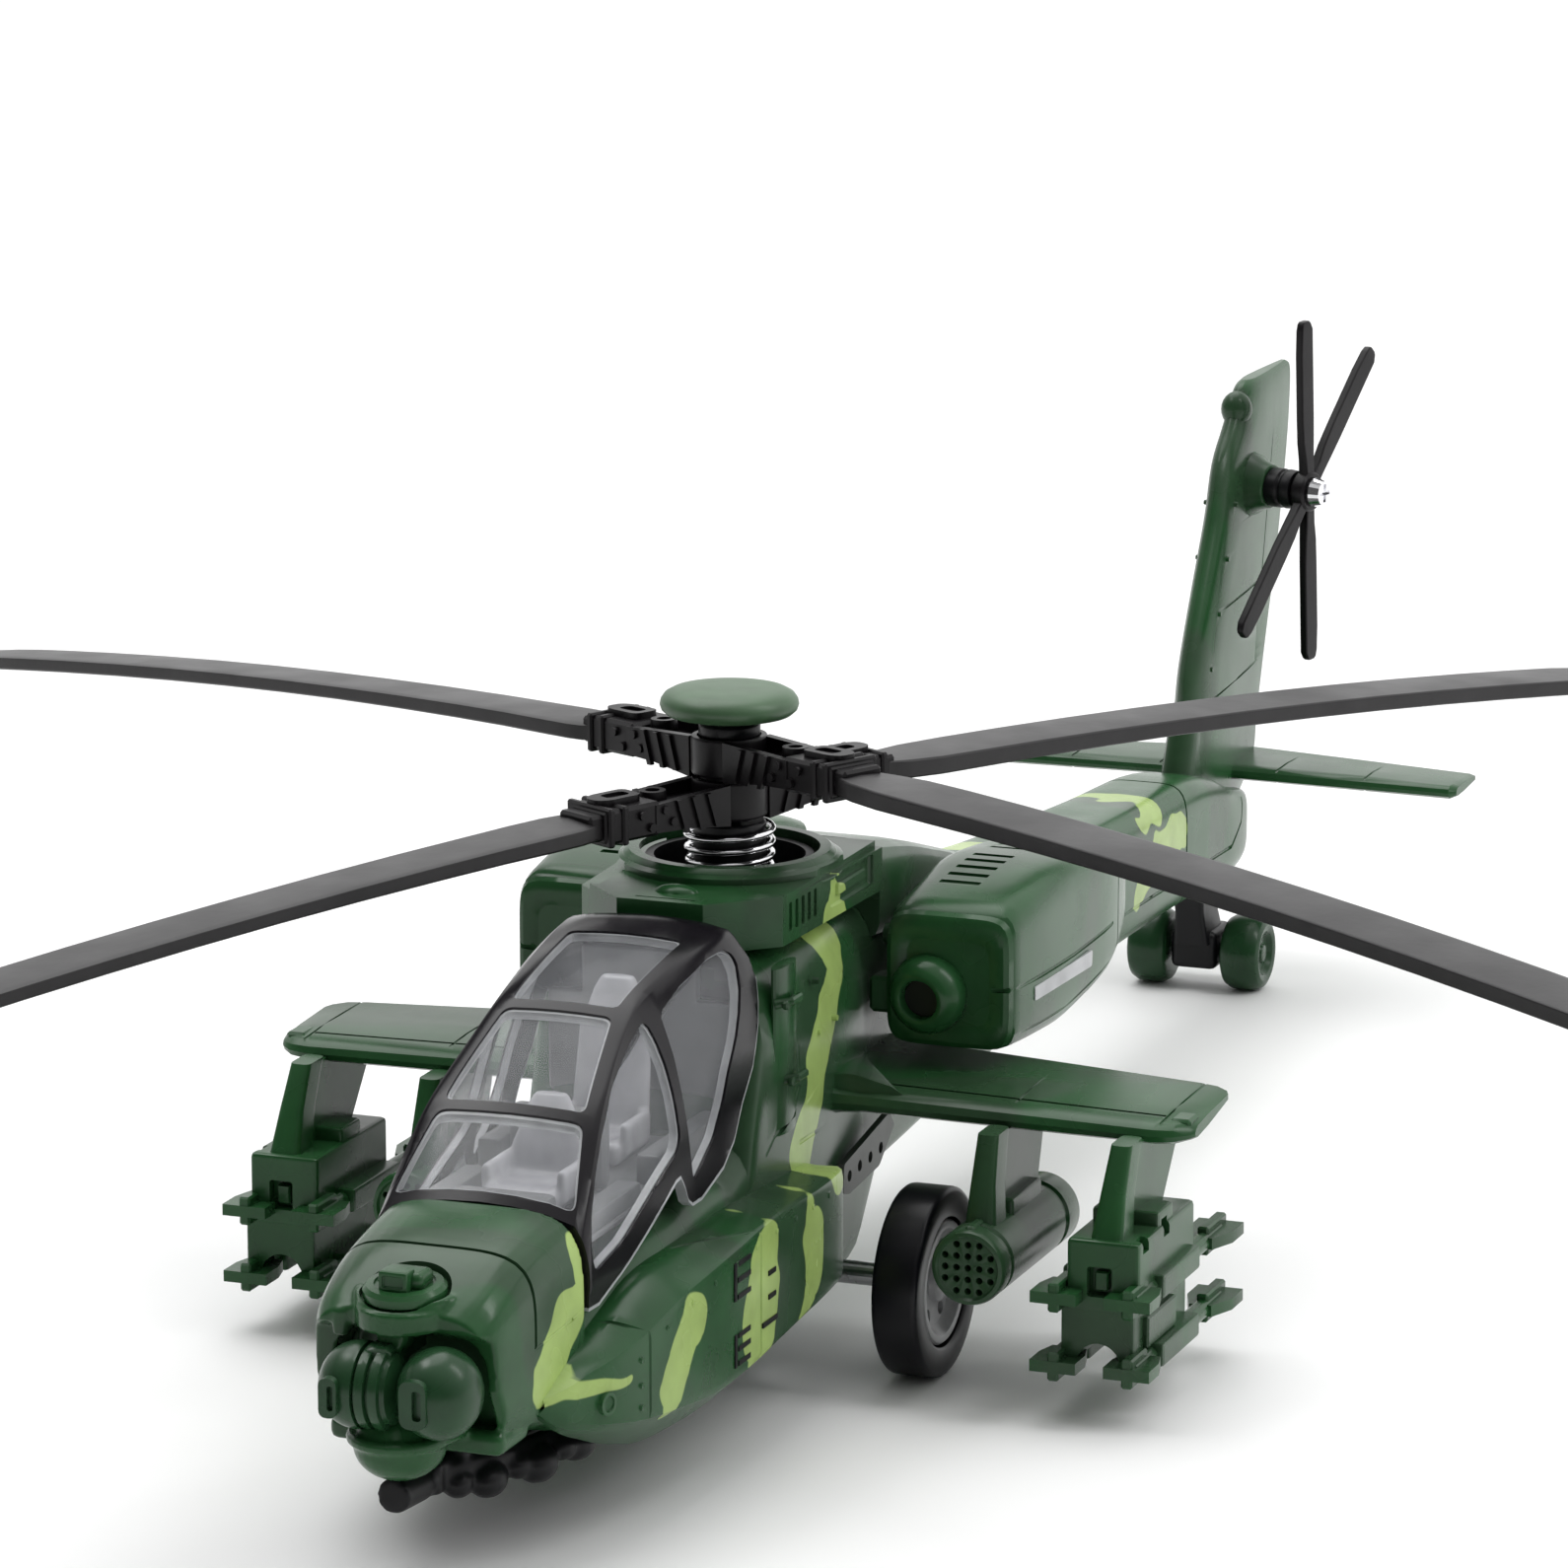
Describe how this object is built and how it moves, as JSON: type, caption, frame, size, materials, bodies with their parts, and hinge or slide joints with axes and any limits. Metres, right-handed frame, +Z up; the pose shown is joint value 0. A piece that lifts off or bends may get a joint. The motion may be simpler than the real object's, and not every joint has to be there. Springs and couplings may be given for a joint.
{
  "type": "toy attack helicopter",
  "caption": "Camouflage-painted toy attack helicopter with a sprung press-down rotor, stub wings carrying rocket pods and rail racks, clear canopy and rolling wheels.",
  "frame": {"origin": "middle of the footprint at the plane the wheels stand on", "axes": "the nose points along -Y, the port side is +X, +Z is up"},
  "size_m": [0.232, 0.3062, 0.0809],
  "materials": {
    "green_paint": "glossy green camouflage paint",
    "black_plastic": "satin",
    "blade_plastic": "satin charcoal",
    "clear_plastic": "clear moulded polystyrene",
    "grey_plastic": "satin",
    "tyre_rubber": "glossy black",
    "chrome": "bright plated",
    "steel": "bright",
    "board_green": "solder mask"
  },
  "bodies": {
    "airframe": {"lower_shell": "green_paint", "upper_shell": "green_paint", "nose_cowl": "green_paint", "nose_turret": "green_paint", "night_sensor": "green_paint", "chain_gun": "black_plastic", "canopy_frame": "black_plastic", "canopy_glass": "clear_plastic", "cockpit_seats": "grey_plastic", "rotor_deck": "green_paint", "spring_cup": "black_plastic", "mast_spring": "chrome", "sponson_port": "green_paint", "sponson_starboard": "green_paint", "nacelle_port": "green_paint", "nacelle_starboard": "green_paint", "intake_port": "green_paint", "intake_starboard": "green_paint", "wing_port": "green_paint", "wing_starboard": "green_paint", "rocket_pod_port": "green_paint", "rocket_pod_starboard": "green_paint", "missile_rack_port": "green_paint", "missile_rack_starboard": "green_paint", "tail_fin": "green_paint", "stabilizer": "green_paint", "tail_rotor_boss": "green_paint", "tail_rotor_spacer": "black_plastic", "tail_rotor_screw": "chrome", "tail_carrier": "black_plastic", "circuit_board": "board_green", "speaker": "black_plastic", "button_cell_1": "steel", "button_cell_2": "steel", "button_cell_3": "steel", "battery_door": "green_paint", "body_screw_port": "steel", "body_screw_starboard": "steel", "switch_body": "black_plastic"},
    "rotor_mast": {"mast": "black_plastic"},
    "main_rotor": {"rotor_hub": "black_plastic", "top_disc": "green_paint", "blade_bar_lower": "blade_plastic", "blade_bar_upper": "blade_plastic"},
    "switch_button": {"switch_plunger": "grey_plastic"},
    "rear_rotor": {"tail_rotor": "blade_plastic"},
    "main_wheels": {"main_axle": "steel", "hub_port": "grey_plastic", "hub_starboard": "grey_plastic", "tyre_port": "tyre_rubber", "tyre_starboard": "tyre_rubber"},
    "rear_wheels": {"tail_axle": "steel", "tail_wheel_port": "green_paint", "tail_wheel_starboard": "green_paint"}
  },
  "joints": [
    {"name": "rotor_press", "type": "slide", "parent": "airframe", "child": "rotor_mast", "axis": [0, 0, -1], "range_m": [0, 0.0025], "stiffness_N_per_m": 600, "springref_m": -0.0015, "deforming": ["mast_spring"]},
    {"name": "rotor_spin", "type": "hinge", "parent": "rotor_mast", "child": "main_rotor", "pos_m": [0, -0.03713, 0], "axis": [0, 0, 1], "continuous": true},
    {"name": "switch_press", "type": "slide", "parent": "airframe", "child": "switch_button", "axis": [0, 0, -1], "range_m": [0, 0.0025]},
    {"name": "tail_rotor_spin", "type": "hinge", "parent": "airframe", "child": "rear_rotor", "pos_m": [0.0093, 0.13137, 0.0599], "axis": [0.9659, -0.2588, 0], "continuous": true},
    {"name": "main_axle_spin", "type": "hinge", "parent": "airframe", "child": "main_wheels", "pos_m": [0, -0.04043, 0.00976], "axis": [1, 0, 0], "continuous": true},
    {"name": "tail_axle_spin", "type": "hinge", "parent": "airframe", "child": "rear_wheels", "pos_m": [0, 0.12097, 0.0046], "axis": [1, 0, 0], "continuous": true}
  ],
  "couplings": [
    {"joint": "switch_press", "follows": "rotor_press", "ratio": 1}
  ]
}
